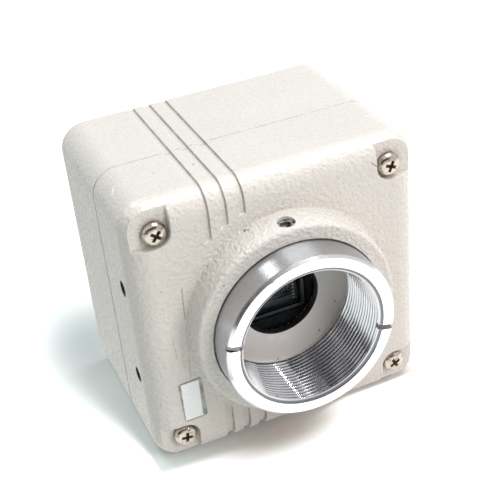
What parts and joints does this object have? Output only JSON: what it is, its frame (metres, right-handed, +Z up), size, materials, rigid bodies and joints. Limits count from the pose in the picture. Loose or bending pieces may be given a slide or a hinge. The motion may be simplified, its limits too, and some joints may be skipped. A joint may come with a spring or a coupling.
{
  "type": "machine vision camera",
  "caption": "Square die-cast industrial camera with a raised boss, a threaded lens mount ring and screwed corners, its lens opening uncovered.",
  "frame": {"origin": "centre of the lens flange, the front rim of the lens mount ring, on the optical axis", "axes": "+Y along the optical axis into the camera, +X to the right seen from the front, +Z up"},
  "size_m": [0.052, 0.0533, 0.052],
  "materials": {
    "body_paint": "fine orange-peel texture",
    "ring_metal": "machined",
    "screw_metal": "nickel plated",
    "lock_screw_metal": "dark",
    "filter_glass": "polished",
    "spring_metal": "satin",
    "ceramic_dark": "matt",
    "silicon": "polished",
    "gold": "gold plated",
    "shield_plastic": "matt black",
    "board_green": "solder resist",
    "nickel": "nickel plated",
    "black_plastic": "moulded",
    "ferrite": "matt",
    "can_metal": "satin",
    "label_paper": "smooth"
  },
  "bodies": {
    "camera": {"front_housing": "body_paint", "rear_housing": "body_paint", "lock_screw": "lock_screw_metal", "corner_screws": "screw_metal", "sensor_package": "ceramic_dark", "sensor_die": "silicon", "sensor_cover_glass": "filter_glass", "sensor_bond_pads": "gold", "sensor_leads": "gold", "light_shield": "shield_plastic", "sensor_board": "board_green", "video_board": "board_green", "power_board": "board_green", "connector_board": "board_green", "front_spacers": "nickel", "rear_spacers": "nickel", "board_screws": "nickel", "front_header": "black_plastic", "rear_header": "black_plastic", "connector_header": "black_plastic", "processor_chip": "black_plastic", "memory_chips": "black_plastic", "oscillator_can": "can_metal", "power_inductors": "ferrite", "power_capacitors": "can_metal", "connector_shell": "nickel", "connector_nut": "nickel", "connector_insert": "black_plastic", "connector_pins": "gold", "blank_label": "label_paper"},
    "filter_cell": {"ir_filter": "filter_glass", "filter_spring_ring": "spring_metal"},
    "mount_ring": {"lens_mount_ring": "ring_metal"}
  },
  "joints": [
    {"name": "ring_travel", "type": "slide", "parent": "camera", "child": "filter_cell", "axis": [0, 1, 0], "range_m": [-0.0005, 0.0005]},
    {"name": "ring_turn", "type": "hinge", "parent": "filter_cell", "child": "mount_ring", "pos_m": [0, 0.0078, 0], "axis": [0, 1, 0], "range_deg": [-239, 239]}
  ],
  "couplings": [
    {"joint": "ring_travel", "follows": "ring_turn", "m_per_rad": 0.00011937}
  ]
}
